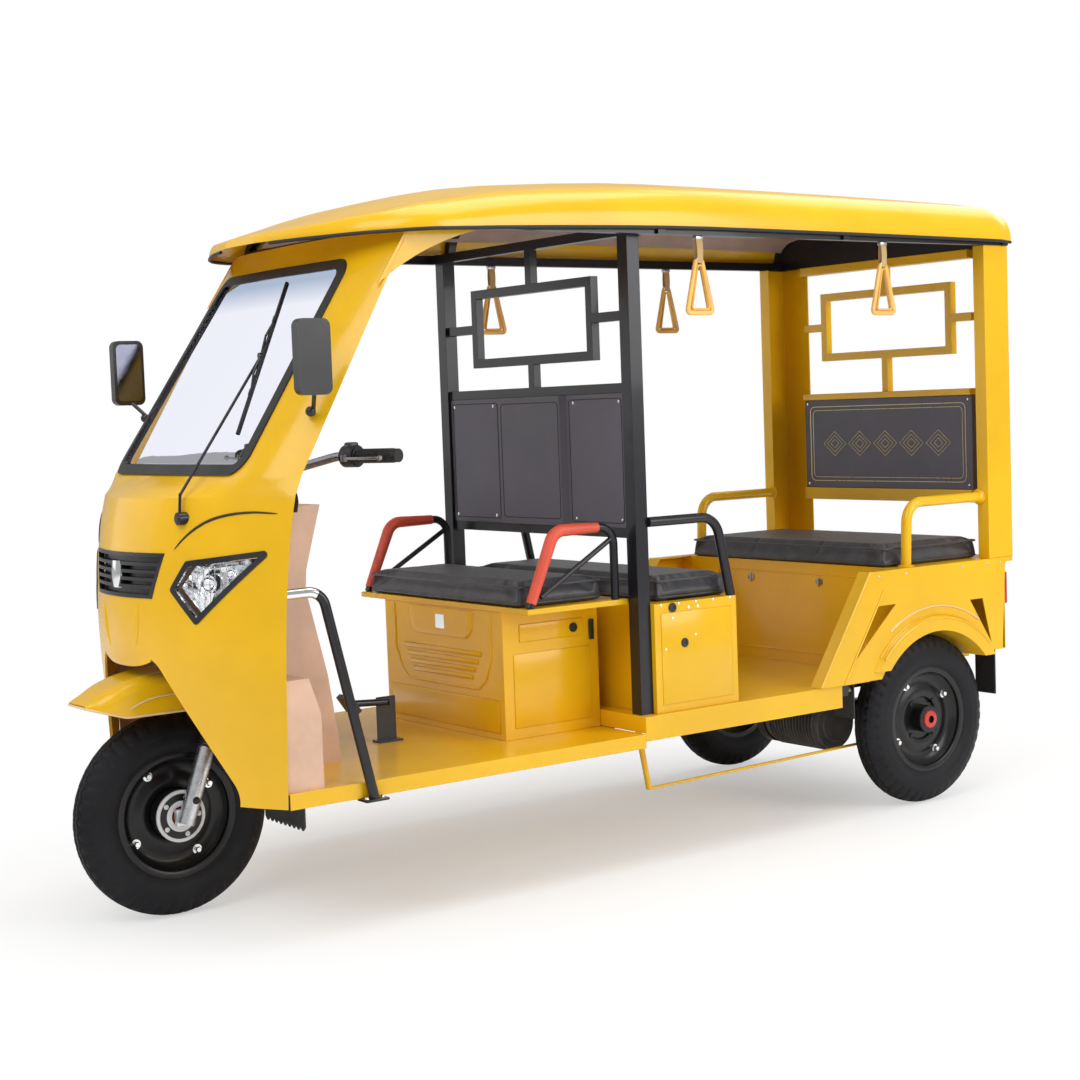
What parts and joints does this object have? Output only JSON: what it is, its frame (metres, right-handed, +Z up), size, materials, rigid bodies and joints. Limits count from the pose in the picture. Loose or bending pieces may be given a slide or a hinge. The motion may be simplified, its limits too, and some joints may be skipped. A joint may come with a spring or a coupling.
{
  "type": "electric auto rickshaw",
  "caption": "Open-sided three-wheeled passenger rickshaw with handlebar steering, curved nose with windscreen, long roof and three bench seats.",
  "frame": {"origin": "on the road, at the middle of the vehicle's width and length", "axes": "+Z up, the front of the vehicle faces -Y, its left side is +X"},
  "size_m": [1.024, 2.807, 1.8078],
  "materials": {
    "body_paint": "gloss yellow enamel",
    "black_paint": "gloss black enamel",
    "rubber": "matt black rubber",
    "tyre_rubber": "matt black tyre rubber",
    "screen_glass": "clear glass",
    "motor_casing": "dark cast casing",
    "backrest_board": "dark satin board",
    "inner_plastic": "tan moulded plastic",
    "black_plastic": "black moulded plastic",
    "fork_alloy": "polished fork legs",
    "lamp_glass": "clear faceted lens",
    "lamp_red": "red lamp lens",
    "strap_webbing": "gold woven webbing",
    "hinge_steel": "bright plated steel",
    "rim_paint": "black painted wheel",
    "seat_leather": "black grained leathercloth"
  },
  "bodies": {
    "body": {"nose_shell": "body_paint", "windscreen_seal": "rubber", "windscreen_glass": "screen_glass", "roof_shell": "body_paint", "roof_frame": "black_paint", "middle_frame": "black_paint", "middle_backrest": "backrest_board", "rear_frame": "body_paint", "rear_backrest": "backrest_board", "nose_grille": "black_plastic", "headlamp_bezels": "black_plastic", "headlamp_lenses": "lamp_glass", "wiper": "black_paint", "mirrors": "black_plastic", "hand_straps": "strap_webbing", "hinge_pins": "hinge_steel", "tail_lamps": "lamp_red", "front_flaps": "rubber", "pedals": "black_paint", "brake_linkage": "body_paint", "front_floor": "body_paint", "rear_floor": "body_paint", "chassis": "black_paint", "driver_box": "body_paint", "middle_box": "body_paint", "rear_box": "body_paint", "driver_armrests": "black_paint", "middle_rails": "black_paint", "rear_armrails": "body_paint", "side_panels": "body_paint", "rear_fenders": "body_paint", "mud_flaps": "rubber", "steering_head": "black_paint", "leg_shield": "inner_plastic", "dashboard": "black_plastic", "floor_rails": "black_paint", "rear_axle": "black_paint", "motor": "motor_casing", "leaf_springs": "black_paint"},
    "steering": {"front_fork": "fork_alloy", "handlebar": "black_plastic", "handlebar_grips": "rubber", "front_mudguard": "body_paint"},
    "front_wheel": {"front_tyre": "tyre_rubber", "front_rim": "rim_paint"},
    "rear_left_wheel": {"rear_left_tyre": "tyre_rubber", "rear_left_rim": "rim_paint"},
    "rear_right_wheel": {"rear_right_tyre": "tyre_rubber", "rear_right_rim": "rim_paint"},
    "driver_seat_lid": {"driver_cushion": "seat_leather", "driver_hinge_leaves": "hinge_steel"},
    "middle_seat_lid": {"middle_cushion": "seat_leather", "middle_hinge_leaves": "hinge_steel"},
    "rear_seat_lid": {"rear_cushion": "seat_leather", "rear_hinge_leaves": "hinge_steel"}
  },
  "joints": [
    {"name": "steering_turn", "type": "hinge", "parent": "body", "child": "steering", "pos_m": [0, -1.1495, 0.248], "axis": [0, 0.342, 0.9397], "range_deg": [-35, 35]},
    {"name": "front_wheel_spin", "type": "hinge", "parent": "steering", "child": "front_wheel", "pos_m": [0, -1.1555, 0.248], "axis": [1, 0, 0], "continuous": true},
    {"name": "rear_left_wheel_spin", "type": "hinge", "parent": "body", "child": "rear_left_wheel", "pos_m": [0.412, 1.0465, 0.248], "axis": [1, 0, 0], "continuous": true},
    {"name": "rear_right_wheel_spin", "type": "hinge", "parent": "body", "child": "rear_right_wheel", "pos_m": [-0.412, 1.0465, 0.248], "axis": [1, 0, 0], "continuous": true},
    {"name": "driver_seat_open", "type": "hinge", "parent": "body", "child": "driver_seat_lid", "pos_m": [0, -0.0635, 0.733], "axis": [-1, 0, 0], "range_deg": [0, 60]},
    {"name": "middle_seat_open", "type": "hinge", "parent": "body", "child": "middle_seat_lid", "pos_m": [0, 0.0335, 0.717], "axis": [1, 0, 0], "range_deg": [0, 60]},
    {"name": "rear_seat_open", "type": "hinge", "parent": "body", "child": "rear_seat_lid", "pos_m": [0, 1.3305, 0.739], "axis": [-1, 0, 0], "range_deg": [0, 60]}
  ]
}
